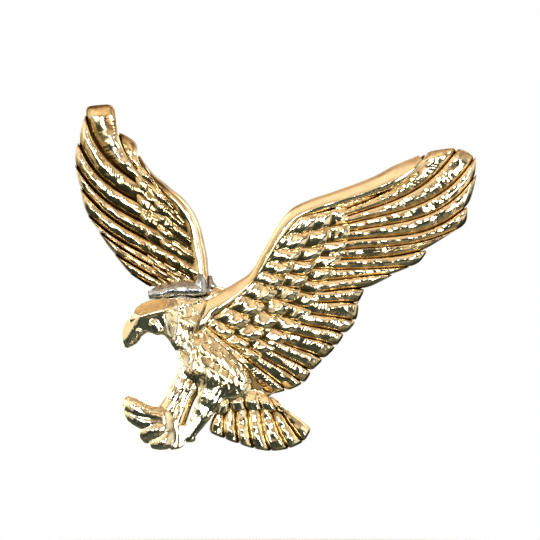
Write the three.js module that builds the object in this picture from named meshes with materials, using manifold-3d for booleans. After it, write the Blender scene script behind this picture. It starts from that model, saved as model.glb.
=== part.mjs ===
// An eagle cap badge: three soldered castings (body, near wing, far wing), two posts on pads soldered to
// the back, and a butterfly clutch on each post.
//
// Millimetres. The badge stands upright in the XZ plane, its front faces -Y, and its posts reach out along
// +Y. The origin is the middle of the outline, on the seat that lies against the cap (y = 0).

import * as THREE from "three";
import { mergeVertices } from "three/addons/utils/BufferGeometryUtils.js";
import Module from "manifold-3d";

const wasm = await Module();
wasm.setup();

// ---------------------------------------------------------------- driving dimensions

const SEAT_LAND = 0.12; // height of the two flat lands that bear on the cap
const BACK = -SEAT_LAND; // y of the castings' flat back
const GAP = 0.05; // left between pieces that solder joins
const LAP_DEPTH = 0.8; // thickness of the body's tab under the near wing

const PAD_RADIUS = 2.5;
const PAD_HEIGHT = 0.5;
const RING_RADIUS = 3.0;
const RING_HEIGHT = 0.3;
const POST_RADIUS = 0.55;
const POST_LENGTH = 8.4;
const POST_POINT = 1.0;
const GROOVE_RADIUS = 0.45;
const GROOVE_LENGTH = 0.5;

const CLUTCH_REST = 2.5; // y of the clutch's plate, one thickness of cap cloth behind the seat
const PLATE_RADIUS = 5.7;
const PLATE_THICKNESS = 0.3;
const PIN_HOLE_RADIUS = 0.8;
const HOUSING_RADIUS = 3.4;
const HOUSING_WALL = 0.3;
const HOUSING_TOP = 4.3;
const WINDOW = { width: 2.9, sill: 1.75, head: 3.5 };
const SHEET = 0.35; // metal of the clutch's levers
const LEVER_WIDTH = 2.3;
const JAW_HEIGHT = 1.35;
const SPRING = { sheet: 0.2, width: 1.6, reach: 2.8, seat: 0.45, top: 1.65 };

const POSTS = {
  body: { x: -4.35, z: -10.0, turn: 0 },
  wing: { x: 4.58, z: -1.07, turn: Math.PI / 2 },
};

// ---------------------------------------------------------------- materials

function metal(color, roughness) {
  return new THREE.MeshStandardMaterial({ color, roughness, metalness: 1 });
}

const gold = () => metal(0xd9ae63, 0.18);
const solderGrey = () => metal(0x9b9b97, 0.35);
const brass = () => metal(0xc9a24e, 0.3);
const springSteel = () => metal(0x8d8f92, 0.35);

// ---------------------------------------------------------------- solids

// The closed geometry as a solid, with its faces turned outwards.
function solid(geometry) {
  const bare = new THREE.BufferGeometry();
  bare.setAttribute("position", geometry.getAttribute("position"));
  if (geometry.index) bare.setIndex(geometry.index);
  const merged = mergeVertices(bare, 1e-4);
  const triVerts = new Uint32Array(merged.index.array);
  const vertProperties = merged.attributes.position.array;
  const made = new wasm.Manifold(new wasm.Mesh({ numProp: 3, vertProperties, triVerts }));
  if (made.volume() > 0) return made;
  for (let i = 0; i < triVerts.length; i += 3) triVerts.subarray(i, i + 2).reverse();
  return new wasm.Manifold(new wasm.Mesh({ numProp: 3, vertProperties, triVerts }));
}

function joined(parts) {
  return parts.reduce((whole, part) => whole.add(part));
}

function geometryOf(made) {
  const mesh = made.getMesh();
  const geometry = new THREE.BufferGeometry();
  geometry.setAttribute("position", new THREE.BufferAttribute(mesh.vertProperties, 3));
  geometry.setIndex(new THREE.BufferAttribute(mesh.triVerts, 1));
  geometry.computeVertexNormals();
  return geometry;
}

function piece(name, made, material) {
  const mesh = new THREE.Mesh(geometryOf(made), material);
  mesh.name = name;
  return mesh;
}

// A straight-sided block of the XZ outline, between two depths.
function prism(outline, front, back) {
  const shape = new THREE.Shape(outline.map(([x, z]) => new THREE.Vector2(x, z)));
  const geometry = new THREE.ExtrudeGeometry(shape, { depth: back - front, bevelEnabled: false });
  return solid(geometry.rotateX(Math.PI / 2).translate(0, back, 0));
}

function ellipse([x, z], [width, height], tilt, sides = 28) {
  return Array.from({ length: sides }, (_, i) => {
    const angle = (2 * Math.PI * i) / sides;
    const point = new THREE.Vector2(width * Math.cos(angle), height * Math.sin(angle));
    point.rotateAround(new THREE.Vector2(), tilt);
    return [x + point.x, z + point.y];
  });
}

// A solid of revolution round the Y axis, from a closed profile of [radius, y].
function turned(profile, segments = 28) {
  const points = [...profile, profile[0]].map(([radius, y]) => new THREE.Vector2(radius, y));
  return solid(new THREE.LatheGeometry(points, segments));
}

// A closed sheet between two grids of points of the same size.
function sheetBetween(front, back) {
  const columns = front.length;
  const rows = front[0].length;
  const vertices = [...front.flat(), ...back.flat()].flatMap((p) => [p.x, p.y, p.z]);
  const at = (side, column, row) => (side * columns + column) * rows + row;
  const faces = [];
  const quad = (a, b, c, d) => faces.push(a, b, c, a, c, d);
  for (let c = 0; c < columns - 1; c++) {
    for (let r = 0; r < rows - 1; r++) {
      quad(at(0, c, r), at(0, c + 1, r), at(0, c + 1, r + 1), at(0, c, r + 1));
      quad(at(1, c, r), at(1, c, r + 1), at(1, c + 1, r + 1), at(1, c + 1, r));
    }
    quad(at(0, c, 0), at(1, c, 0), at(1, c + 1, 0), at(0, c + 1, 0));
    quad(at(0, c + 1, rows - 1), at(1, c + 1, rows - 1), at(1, c, rows - 1), at(0, c, rows - 1));
  }
  for (let r = 0; r < rows - 1; r++) {
    quad(at(0, 0, r + 1), at(1, 0, r + 1), at(1, 0, r), at(0, 0, r));
    quad(at(0, columns - 1, r), at(1, columns - 1, r), at(1, columns - 1, r + 1), at(0, columns - 1, r + 1));
  }
  const geometry = new THREE.BufferGeometry();
  geometry.setAttribute("position", new THREE.Float32BufferAttribute(vertices, 3));
  geometry.setIndex(faces);
  return solid(geometry);
}

function inPlane(points) {
  return points.map(([x, z]) => new THREE.Vector3(x, 0, z));
}

// count + 1 points of the smooth line through the given [x, z] points, the same number between each two.
function spread(points, count) {
  return new THREE.CatmullRomCurve3(inPlane(points)).getPoints(count);
}

const LOBE_POWER = 3; // how square the end of a feather is
const ACROSS = 6; // steps across one feather
const ALONG = 6; // steps along one feather
const HANDLE = 0.4; // length of a feather line's end handles over its chord

// The value part-way (0 to 1) along a list of evenly spaced key values.
function between(keys, part) {
  const place = part * (keys.length - 1);
  const first = Math.min(Math.floor(place), keys.length - 2);
  return keys[first] + (keys[first + 1] - keys[first]) * (place - first);
}

function heading(degrees) {
  return new THREE.Vector3(Math.cos(degrees * (Math.PI / 180)), 0, Math.sin(degrees * (Math.PI / 180)));
}

// A fan of crowned feathers. roots and tips hold the points between feathers, one more than there are
// feathers. leave and arrive are key headings in degrees, from +X towards +Z, at the roots and the tips.
// reach is how far each feather's end runs past the points beside it, on its first and its last side.
// rise is the height at the root and at the tip, and crown is the extra height along a feather's middle.
function featherFan({ roots, tips, leave, arrive, reach, rise, crown }) {
  const feathers = tips.length - 1;
  const front = [];
  for (let step = 0; step <= feathers * ACROSS; step++) {
    const place = step / ACROSS;
    const feather = Math.min(Math.floor(place), feathers - 1);
    const across = place - feather;
    const root = roots[feather].clone().lerp(roots[feather + 1], across);
    const tip = tips[feather].clone().lerp(tips[feather + 1], across);
    const handle = HANDLE * root.distanceTo(tip);
    const out = heading(between(leave, place / feathers)).multiplyScalar(handle);
    const end = heading(between(arrive, place / feathers));
    const lobe = (1 - Math.abs(2 * across - 1) ** LOBE_POWER) ** (1 / LOBE_POWER);
    const farTip = tip.clone().addScaledVector(end, between(reach[feather], across) * lobe);
    const before = tip.clone().addScaledVector(end, -handle);
    const line = new THREE.CubicBezierCurve3(root, root.clone().add(out), before, farTip);
    const crest = crown * (1 - (2 * across - 1) ** 2);
    front.push(
      line.getPoints(ALONG).map((point, i) => {
        point.y = BACK - (between(rise, i / ALONG) + crest);
        return point;
      }),
    );
  }
  const back = front.map((column) => column.map((point) => new THREE.Vector3(point.x, 1, point.z)));
  return sheetBetween(front, back);
}

// A rounded limb through stations of [x, y, z, radius]. depth is its thickness along Y over its width.
function limb(stations, depth = 1, sides = 10, stepsPerStation = 2) {
  const line = new THREE.CatmullRomCurve3(stations.map(([x, y, z]) => new THREE.Vector3(x, y, z)));
  const steps = (stations.length - 1) * stepsPerStation;
  const vertices = [];
  for (let i = 0; i <= steps; i++) {
    const place = i / stepsPerStation;
    const before = stations[Math.floor(place)][3];
    const after = stations[Math.ceil(place)][3];
    const radius = before + (after - before) * (place % 1);
    const side = line.getTangent(i / steps).cross(new THREE.Vector3(0, 1, 0)).normalize();
    const facing = side.clone().cross(line.getTangent(i / steps));
    for (let s = 0; s < sides; s++) {
      const angle = (2 * Math.PI * s) / sides;
      const point = line.getPoint(i / steps);
      point.addScaledVector(side, radius * Math.cos(angle));
      point.addScaledVector(facing, radius * depth * Math.sin(angle));
      vertices.push(point.x, point.y, point.z);
    }
  }
  const faces = [];
  for (let i = 0; i < steps; i++) {
    for (let s = 0; s < sides; s++) {
      const next = (s + 1) % sides;
      const here = i * sides;
      const there = here + sides;
      faces.push(here + s, there + s, there + next, here + s, there + next, here + next);
    }
  }
  for (let s = 1; s < sides - 1; s++) {
    const last = steps * sides;
    faces.push(0, s, s + 1, last, last + s + 1, last + s);
  }
  const geometry = new THREE.BufferGeometry();
  geometry.setAttribute("position", new THREE.Float32BufferAttribute(vertices, 3));
  geometry.setIndex(faces);
  return solid(geometry);
}

// The solid with everything behind the castings' back cut off.
function cutFlat(made) {
  return made.trimByPlane([0, -1, 0], SEAT_LAND);
}

// ---------------------------------------------------------------- the joint of body and near wing

// The seam seen from the front, from above the shoulder round to beyond the tail.
const SEAM = [
  [-7.2, 3.0],
  [-7.4, -1.3],
  [-8.5, -3.2],
  [-9.4, -5.2],
  [-9.9, -6.9],
  [-9.2, -6.8],
  [-8.3, -6.9],
  [-7.2, -7.6],
  [-5.7, -8.9],
  [-4.2, -10.4],
  [-2.7, -12.1],
  [-1.7, -13.7],
  [-0.9, -14.4],
  [8.0, -14.6],
];
const FRONT_CLEAR = -9; // further forward than any casting

const BODY_SIDE = prism([...SEAM, [8, -30], [-30, -30], [-30, 3]], FRONT_CLEAR, 2);
const WING_SIDE = prism([...SEAM, [40, -14.6], [40, 3]], FRONT_CLEAR, 2).translate(-GAP, 0, -GAP);

const LAP = { centre: [-4.4, -9.6], size: [3.6, 4.7], tilt: 0.55 };
const lapTab = prism(ellipse(LAP.centre, LAP.size, LAP.tilt), BACK - LAP_DEPTH, BACK);
const lapPocket = prism(
  ellipse(LAP.centre, LAP.size.map((radius) => radius + GAP), LAP.tilt),
  BACK - LAP_DEPTH - GAP,
  1,
);

// ---------------------------------------------------------------- near wing

const NEAR_ROLL = [
  [-9.4, -0.9, -6.7, 0.3],
  [-9.0, -1.0, -5.1, 0.9],
  [-8.3, -1.1, -3.5, 1.55],
  [-7.2, -1.1, -2.65, 1.4],
  [-5.6, -1.05, -2.55, 1.0],
  [-4.4, -1.0, -1.75, 0.85],
  [-2.6, -0.9, 0.0, 0.65],
  [-0.75, -0.9, 3.0, 0.7],
  [1.1, -0.9, 6.0, 0.8],
  [2.6, -0.9, 7.4, 0.9],
  [4.6, -0.9, 8.25, 0.95],
  [8.0, -0.9, 9.35, 1.0],
  [12.0, -0.8, 10.75, 1.1],
  [14.4, -0.7, 11.9, 1.2],
  [16.2, -0.6, 13.0, 0.95],
  [17.3, -0.6, 14.0, 0.5],
];

// The line under the leading edge where the coverts begin, at every second notch between them.
const NEAR_COVERT_ROOT = [
  [-9.4, -6.8],
  [-8.2, -5.4],
  [-5.4, -3.3],
  [-2.9, -0.7],
  [-1.5, 1.2],
  [-0.2, 3.4],
  [2.6, 6.8],
];

const NEAR_COVERT_TIPS = [
  [-5.2, -10.5],
  [-1.6, -9.3],
  [1.9, -6.5],
  [4.5, -3.1],
  [6.2, 0.3],
  [8.3, 4.0],
  [8.0, 8.3],
];

const NEAR_FLIGHT_ROOT = [
  [-6.8, -8.6],
  [-3.0, -8.7],
  [-0.1, -7.4],
  [2.6, -5.2],
  [4.4, -2.6],
  [5.4, 0.1],
  [6.3, 2.5],
  [7.0, 4.7],
  [7.1, 6.6],
  [6.9, 8.3],
];

// The notches of the trailing edge, from the body to the wing's tip.
const NEAR_FLIGHT_TIPS = [
  [-1.2, -14.0],
  [1.0, -13.5],
  [2.9, -12.6],
  [3.8, -11.2],
  [5.3, -9.8],
  [6.8, -8.3],
  [7.8, -6.8],
  [9.1, -5.3],
  [9.4, -3.2],
  [10.2, -1.5],
  [13.6, 0.2],
  [15.8, 1.1],
  [17.3, 3.0],
  [22.3, 6.0],
  [22.5, 8.1],
  [23.6, 11.8],
  [23.6, 14.0],
  [21.5, 15.0],
  [17.8, 14.5],
  [16.4, 13.6],
];
const NEAR_FLIGHT_REACH = [
  0.3, 0.4, 0.5, 0.4, 0.4, 0.4, 0.5, 0.5, 0.4, 0.6, 0.3, 1.0, 0.5, 0.5, 0.9, 0.5, 0.4, 0.5, 0.2,
];

function nearFlights() {
  const tips = inPlane(NEAR_FLIGHT_TIPS);
  return featherFan({
    roots: spread(NEAR_FLIGHT_ROOT, tips.length - 1),
    tips,
    leave: [-50, -20, 0, 12, 21],
    arrive: [-48, -26, -8, 8, 60, 52],
    reach: NEAR_FLIGHT_REACH.map((length) => [length, length]),
    rise: [1.2, 0.9],
    crown: 0.35,
  });
}

function nearCoverts() {
  const feathers = 12;
  return featherFan({
    roots: spread(NEAR_COVERT_ROOT, feathers),
    tips: spread(NEAR_COVERT_TIPS, feathers),
    leave: [-42, -20, -6, 16, 24],
    arrive: [-40, -20, -6, 12, 22],
    reach: Array(feathers).fill([0.6, 0.6]),
    rise: [1.5, 1.5],
    crown: 0.4,
  });
}

function nearWing() {
  const land = prism([[-1.5, -1.2], [1.2, -1.2], [1.2, 1.9], [-1.5, 1.9]], BACK - 0.4, 0);
  const whole = cutFlat(joined([limb(NEAR_ROLL, 1.3), nearFlights(), nearCoverts()]));
  return piece("near_wing", whole.subtract(BODY_SIDE).subtract(lapPocket).add(land), gold());
}

// ---------------------------------------------------------------- far wing

const FAR_ROLL = [
  [-16.6, -0.5, 14.2, 0.35],
  [-15.2, -0.6, 11.9, 0.55],
  [-13.4, -0.7, 10.1, 0.75],
  [-11.6, -0.8, 8.3, 0.95],
  [-10.4, -0.8, 6.4, 1.0],
  [-9.8, -0.8, 4.3, 1.0],
  [-9.4, -0.8, 2.2, 1.05],
  [-9.2, -0.8, 0.2, 1.05],
  [-9.05, -0.8, -1.4, 1.0],
];

const FAR_ROOT = [
  [-8.9, -5.4],
  [-9.1, -3.4],
  [-9.3, -0.8],
  [-9.9, 3.0],
  [-11.4, 7.2],
  [-14.4, 10.8],
];
const FAR_FOOT = -1.25; // z at which the far wing is cut off, above the head

// The notches of the trailing edge, from the root to the tip and round to the leading edge.
const FAR_FLIGHT_TIPS = [
  [-15.6, -1.0],
  [-17.4, 0.2],
  [-19.3, 2.6],
  [-21.1, 5.2],
  [-22.5, 7.2],
  [-23.3, 10.4],
  [-24.0, 13.2],
  [-23.6, 15.8],
  [-22.8, 19.2],
  [-18.95, 16.7],
  [-16.6, 15.2],
];
const FAR_FLIGHT_REACH = [
  [0.2, 0.2],
  [0.3, 0.3],
  [0.4, 0.4],
  [0.3, 0.3],
  [0.4, 0.4],
  [0.4, 0.4],
  [0.4, 0.4],
  [0.3, 0.3],
  [1.3, 4.0],
  [0.7, 0.7],
];

function farWing() {
  const tips = inPlane(FAR_FLIGHT_TIPS);
  const flights = featherFan({
    roots: spread(FAR_ROOT, tips.length - 1),
    tips,
    leave: [145, 147, 148, 145, 138, 125],
    arrive: [145, 146, 135, 118, 100, 86],
    reach: FAR_FLIGHT_REACH,
    rise: [1.4, 0.8],
    crown: 0.35,
  });
  const whole = cutFlat(limb(FAR_ROLL, 1.3).add(flights));
  return piece("far_wing", whole.trimByPlane([0, 0, 1], FAR_FOOT), gold());
}

// ---------------------------------------------------------------- body

const TORSO = [
  [-9.8, -1.6, -6.0, 2.1],
  [-8.4, -1.9, -8.6, 2.9],
  [-6.9, -1.8, -11.0, 3.2],
  [-5.1, -1.4, -13.4, 2.7],
  [-3.4, -1.0, -15.4, 1.7],
];

const HEAD = [
  [-9.3, -1.9, -4.95, 2.3],
  [-10.8, -2.5, -5.05, 2.4],
  [-12.4, -2.8, -4.85, 2.2],
  [-14.2, -2.8, -4.8, 2.1],
  [-15.7, -2.5, -5.15, 1.75],
  [-16.9, -2.0, -6.2, 1.4],
  [-17.4, -1.6, -7.2, 1.15],
  [-17.7, -1.2, -7.95, 0.65],
];

const NECK = [
  [-12.0, -2.6, -5.2, 1.9],
  [-11.2, -2.3, -6.9, 1.8],
  [-10.0, -2.1, -8.4, 1.9],
  [-9.0, -2.0, -10.2, 2.1],
];

const FAR_LEG = [
  [-10.2, -1.3, -10.8, 1.2],
  [-11.5, -1.3, -13.2, 1.15],
  [-12.7, -1.3, -15.4, 1.1],
  [-13.4, -1.4, -16.8, 1.3],
];

const BETWEEN_LEGS = [
  [-9.4, -1.0, -11.8, 1.3],
  [-10.9, -0.9, -14.4, 1.2],
  [-11.9, -0.9, -16.8, 1.3],
  [-12.4, -1.0, -18.2, 1.3],
];

const NEAR_LEG = [
  [-7.4, -2.2, -12.2, 2.2],
  [-7.9, -2.4, -14.6, 1.9],
  [-9.3, -2.2, -16.8, 1.15],
  [-10.5, -2.0, -18.5, 0.95],
];

const TOES = [
  [
    [-13.6, -1.6, -16.8, 1.3],
    [-15.6, -1.9, -16.3, 1.15],
    [-17.0, -1.8, -15.5, 1.1],
    [-17.5, -1.5, -15.2, 0.95],
  ],
  [
    [-13.4, -1.6, -17.4, 1.3],
    [-15.6, -1.9, -17.3, 1.1],
    [-17.1, -1.7, -16.6, 0.95],
    [-17.6, -1.4, -16.1, 0.8],
  ],
  [
    [-12.8, -1.6, -18.0, 1.3],
    [-14.6, -1.9, -18.3, 1.2],
    [-15.6, -1.7, -18.7, 0.9],
    [-15.4, -1.4, -19.3, 0.7],
  ],
  [
    [-12.0, -2.0, -18.8, 1.1],
    [-13.4, -2.0, -19.7, 1.05],
    [-14.4, -1.7, -19.9, 0.8],
    [-14.6, -1.3, -20.1, 0.55],
  ],
  [
    [-11.4, -2.0, -18.8, 1.0],
    [-11.8, -2.0, -19.6, 0.95],
    [-12.3, -1.7, -20.1, 0.65],
  ],
  [
    [-11.0, -2.0, -18.6, 0.9],
    [-10.5, -1.8, -19.0, 0.85],
    [-10.2, -1.5, -19.3, 0.6],
  ],
];

const TAIL_ROOT = [
  [-7.0, -15.4],
  [-5.2, -14.0],
  [-3.2, -13.4],
  [-1.4, -13.9],
  [0.2, -14.9],
];
const TAIL_TIPS = [
  [-8.0, -18.4],
  [-6.2, -19.2],
  [-4.5, -19.8],
  [-2.7, -20.4],
  [-0.7, -20.7],
  [1.4, -20.4],
  [3.1, -19.6],
  [4.0, -18.1],
];

function tail() {
  const tips = inPlane(TAIL_TIPS);
  const feathers = tips.length - 1;
  return featherFan({
    roots: spread(TAIL_ROOT, feathers),
    tips,
    leave: [-100, -70, -45],
    arrive: [-90, -65, -42],
    reach: Array(feathers).fill([0.25, 0.25]),
    rise: [1.5, 0.9],
    crown: 0.35,
  });
}

function eagleBody() {
  const trunk = [TORSO, HEAD, NECK].map((part) => limb(part, 1, 14));
  const legs = [FAR_LEG, BETWEEN_LEGS, NEAR_LEG].map((leg) => limb(leg));
  const toes = TOES.map((toe) => limb(toe, 1, 8));
  const land = prism([[-11.5, -8.2], [-10.0, -8.2], [-10.0, -5.6], [-11.5, -5.6]], BACK - 0.4, 0);
  const whole = cutFlat(joined([...trunk, ...legs, ...toes, tail()]));
  return piece("eagle_body", whole.subtract(WING_SIDE).add(lapTab).add(land), gold());
}

// ---------------------------------------------------------------- solder

function farWingSolder() {
  const stations = [
    [-15.2, -0.9, -1.95, 0.5],
    [-13.2, -0.9, -1.95, 0.62],
    [-11.0, -0.9, -1.95, 0.64],
    [-9.2, -0.9, -1.95, 0.6],
    [-8.4, -0.9, -1.8, 0.42],
    [-8.0, -0.9, -1.55, 0.2],
  ];
  return piece("far_wing_solder", cutFlat(limb(stations, 1.2)), solderGrey());
}

function shoulderSolder() {
  const stations = [
    [-7.8, -0.9, 0.1, 0.16],
    [-7.72, -0.9, -0.45, 0.26],
    [-7.55, -0.9, -0.85, 0.3],
    [-7.1, -0.9, -0.98, 0.22],
    [-6.5, -0.9, -1.08, 0.14],
  ];
  return piece("shoulder_solder", cutFlat(limb(stations)), solderGrey());
}

// A bead along the edge of the body's tab, on the back of the castings.
function nearWingSolder() {
  const edge = ellipse(LAP.centre, LAP.size, LAP.tilt, 24);
  const stations = [...edge.slice(17), ...edge.slice(0, 5)].map(([x, z]) => [x, BACK, z, 0.4]);
  const bead = limb(stations, 0.8, 8, 1).trimByPlane([0, 1, 0], BACK);
  return piece("near_wing_solder", bead, solderGrey());
}

// ---------------------------------------------------------------- posts

function post(name, { x, z }) {
  const group = new THREE.Group();
  group.position.set(x, BACK, z);
  const pad = turned([[0, 0], [PAD_RADIUS, 0], [PAD_RADIUS, PAD_HEIGHT], [0, PAD_HEIGHT]]);
  const inner = PAD_RADIUS + GAP;
  const shoulder = [RING_RADIUS - RING_HEIGHT / 2, RING_HEIGHT * 0.6];
  const ring = turned([[inner, 0], [RING_RADIUS, 0], shoulder, [inner, RING_HEIGHT]]);
  const grip = CLUTCH_REST + JAW_HEIGHT - BACK;
  const pin = turned(
    [
      [0, PAD_HEIGHT],
      [POST_RADIUS, PAD_HEIGHT],
      [POST_RADIUS, grip - GROOVE_LENGTH],
      [GROOVE_RADIUS, grip - GROOVE_LENGTH / 2],
      [GROOVE_RADIUS, grip + GROOVE_LENGTH / 2],
      [POST_RADIUS, grip + GROOVE_LENGTH],
      [POST_RADIUS, POST_LENGTH - POST_POINT],
      [0, POST_LENGTH],
    ],
    14,
  );
  group.add(piece(`${name}_post_pad`, pad, brass()));
  group.add(piece(`${name}_post_solder`, ring, solderGrey()));
  group.add(piece(`${name}_post`, pin, brass()));
  return group;
}

// ---------------------------------------------------------------- butterfly clutches

// A strip of sheet metal bent along a path of [x, y] points, as wide as given along Z.
function bentStrip(path, sheet, width) {
  const corners = path.map(([x, y]) => new THREE.Vector2(x, y));
  const normals = corners.slice(1).map((corner, i) => {
    const run = corner.clone().sub(corners[i]).normalize();
    return new THREE.Vector2(-run.y, run.x);
  });
  const offset = (i, side) => {
    const before = normals[Math.max(i - 1, 0)];
    const after = normals[Math.min(i, normals.length - 1)];
    const mitre = before.clone().add(after);
    return corners[i].clone().addScaledVector(mitre, (side * sheet) / (1 + before.dot(after)) / 2);
  };
  const left = corners.map((_, i) => offset(i, 1));
  const right = corners.map((_, i) => offset(i, -1));
  const shape = new THREE.Shape([...right, ...left.reverse()]);
  const geometry = new THREE.ExtrudeGeometry(shape, { depth: width, bevelEnabled: false });
  return solid(geometry.translate(0, 0, -width / 2));
}

function pinHole(radius) {
  return solid(new THREE.CylinderGeometry(radius, radius, 20, 20));
}

function clutchPlate() {
  const rim = PLATE_RADIUS - 0.35;
  return turned([
    [PIN_HOLE_RADIUS, 0],
    [rim, 0],
    [PLATE_RADIUS, 0.25],
    [PLATE_RADIUS, 0.55],
    [rim + 0.1, 0.55],
    [rim - 0.1, PLATE_THICKNESS],
    [PIN_HOLE_RADIUS, PLATE_THICKNESS],
  ]);
}

function clutchHousing() {
  const inner = HOUSING_RADIUS - HOUSING_WALL;
  const cup = turned([
    [inner, PLATE_THICKNESS],
    [HOUSING_RADIUS, PLATE_THICKNESS],
    [HOUSING_RADIUS, HOUSING_TOP - 0.3],
    [inner, HOUSING_TOP],
    [PIN_HOLE_RADIUS, HOUSING_TOP],
    [PIN_HOLE_RADIUS, HOUSING_TOP - HOUSING_WALL],
    [inner, HOUSING_TOP - HOUSING_WALL - 0.1],
  ]);
  const height = WINDOW.head - WINDOW.sill;
  const window = new THREE.BoxGeometry(20, height, WINDOW.width).translate(0, WINDOW.sill + height / 2, 0);
  return cup.subtract(solid(window));
}

function jawSpring() {
  const { sheet, width, reach, seat, top } = SPRING;
  const strip = bentStrip([[-reach, top], [-reach, seat], [reach, seat], [reach, top]], sheet, width);
  return strip.subtract(pinHole(PIN_HOLE_RADIUS - 0.1));
}

// One lever: a notched jaw at the post, an arm that rocks on the housing's sill, and a finger wing.
function lever() {
  const path = [
    [0.3, JAW_HEIGHT],
    [1.9, JAW_HEIGHT],
    [2.4, 1.85],
    [2.9, 2.3],
    [3.6, 2.7],
    [4.4, 3.4],
    [4.85, 4.2],
    [5.0, 5.0],
  ];
  return bentStrip(path, SHEET, LEVER_WIDTH).subtract(pinHole(POST_RADIUS + 0.1));
}

function clutch(name, { x, z, turn }) {
  const group = new THREE.Group();
  group.position.set(x, CLUTCH_REST, z);
  group.rotation.y = turn;
  group.add(piece(`${name}_clutch_plate`, clutchPlate(), brass()));
  group.add(piece(`${name}_clutch_housing`, clutchHousing(), brass()));
  group.add(piece(`${name}_clutch_spring`, jawSpring(), springSteel()));
  group.add(piece(`${name}_clutch_lever_a`, lever(), brass()));
  const opposite = piece(`${name}_clutch_lever_b`, lever(), brass());
  opposite.rotation.y = Math.PI;
  group.add(opposite);
  return group;
}

// ---------------------------------------------------------------- the badge

const badge = new THREE.Group();
badge.add(eagleBody(), nearWing(), farWing());
badge.add(farWingSolder(), shoulderSolder(), nearWingSolder());
for (const [name, place] of Object.entries(POSTS)) {
  badge.add(post(name, place), clutch(name, place));
}

export default badge;
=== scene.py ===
"""An eagle cap badge: fine castings, solder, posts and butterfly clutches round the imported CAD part.

Shapes are made in millimetres in the part's own frame (X across, front towards -Y, Z up) and turned into
metres when a piece is finished.
"""

import math

import bmesh
import bpy
import numpy as np
import openvdb
from mathutils import Matrix, Vector


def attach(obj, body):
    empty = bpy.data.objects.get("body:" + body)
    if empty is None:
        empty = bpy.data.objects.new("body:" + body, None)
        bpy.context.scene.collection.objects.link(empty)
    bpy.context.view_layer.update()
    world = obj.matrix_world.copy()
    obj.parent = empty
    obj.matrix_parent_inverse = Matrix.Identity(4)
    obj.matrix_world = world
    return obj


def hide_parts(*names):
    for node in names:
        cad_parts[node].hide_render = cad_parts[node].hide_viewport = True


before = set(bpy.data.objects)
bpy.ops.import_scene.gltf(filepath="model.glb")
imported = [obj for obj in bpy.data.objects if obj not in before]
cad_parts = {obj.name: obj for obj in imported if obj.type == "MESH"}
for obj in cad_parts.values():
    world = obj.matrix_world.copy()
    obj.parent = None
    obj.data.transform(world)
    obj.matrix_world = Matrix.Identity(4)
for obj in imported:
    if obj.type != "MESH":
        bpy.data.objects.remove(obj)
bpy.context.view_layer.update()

# ---------------------------- driving dimensions, mm

BACK = -0.12  # y of the castings' flat back
GAP = 0.05  # between pieces that solder joins
LAP_DEPTH = 0.8  # thickness of the body's tab behind the near wing
BROW_PROUD = 4.3  # how far the brow stands in front of y 0
ROLL_TILT = 0.32  # how far the wings' leading edges lean outwards, radians
VOXEL = 0.09  # grid of the body's rounded forms

PAD_RADIUS = 2.5
PAD_HEIGHT = 0.5
RING_RADIUS = 3.0
RING_HEIGHT = 0.3
POST_RADIUS = 0.55
POST_LENGTH = 8.4
GROOVE_RADIUS = 0.45
CLUTCH_REST = 2.5  # y of the clutches' plates
PLATE_RADIUS = 5.7
PLATE_THICKNESS = 0.3
PIN_HOLE_RADIUS = 0.8
HOUSING_RADIUS = 3.4
HOUSING_WALL = 0.3
HOUSING_TOP = 4.3
SHEET = 0.35
JAW_HEIGHT = 1.35

# name: x, z, turn about the post
POSTS = {"body": (-4.35, -10.0, 0.0), "wing": (4.58, -1.07, math.pi / 2)}

# ---------------------------- numbers along lines


def mix(a, b, part):
    """The value part-way from a to b."""
    return a + (b - a) * part


def smoothstep(low, high, value):
    """0 below low, 1 above high, and an S-shaped slope between. low may be above high."""
    part = np.clip((value - low) / (high - low), 0, 1)
    return part * part * (3 - 2 * part)


def between(keys, part):
    """The value part-way (0 to 1) along evenly spaced key values."""
    keys = np.asarray(keys, float)
    return np.interp(part, np.linspace(0, 1, len(keys)), keys)


def heading(degrees):
    """The unit vector at a heading in the plane of x, z."""
    turn = np.radians(degrees)
    return np.stack([np.cos(turn), np.sin(turn)], -1)


def spread(keys, count):
    """count + 1 points of the smooth line through the keys, the same number between each two."""
    keys = np.asarray(keys, float)
    padded = np.vstack([2 * keys[0] - keys[1], keys, 2 * keys[-1] - keys[-2]])
    place = np.linspace(0, len(keys) - 1, count + 1)
    first = np.minimum(place.astype(int), len(keys) - 2)
    part = (place - first)[:, None]
    p0, p1, p2, p3 = (padded[first + i] for i in range(4))
    d0, d1, d2 = (
        np.maximum(np.sqrt(np.linalg.norm(b[:, :3] - a[:, :3], axis=1)), 1e-4)[:, None]
        for a, b in ((p0, p1), (p1, p2), (p2, p3))
    )
    leave = ((p1 - p0) / d0 - (p2 - p0) / (d0 + d1) + (p2 - p1) / d1) * d1
    arrive = ((p2 - p1) / d1 - (p3 - p1) / (d1 + d2) + (p3 - p2) / d2) * d1
    cubic = (2 * (p1 - p2) + leave + arrive) * part**3
    return cubic + (3 * (p2 - p1) - 2 * leave - arrive) * part**2 + leave * part + p1


def ripple(points, size, seed):
    """A smooth wandering value of about -1 to 1 over points, with waves of about the given size."""
    dice = np.random.default_rng(seed)
    total = 0
    for _ in range(5):
        wave = dice.normal(size=points.shape[-1])
        wave *= 2 * math.pi / size / np.linalg.norm(wave) * dice.uniform(0.7, 1.4)
        total = total + np.sin(points @ wave + dice.uniform(0, 2 * math.pi))
    return total / 2.5


# ---------------------------- meshes


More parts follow.
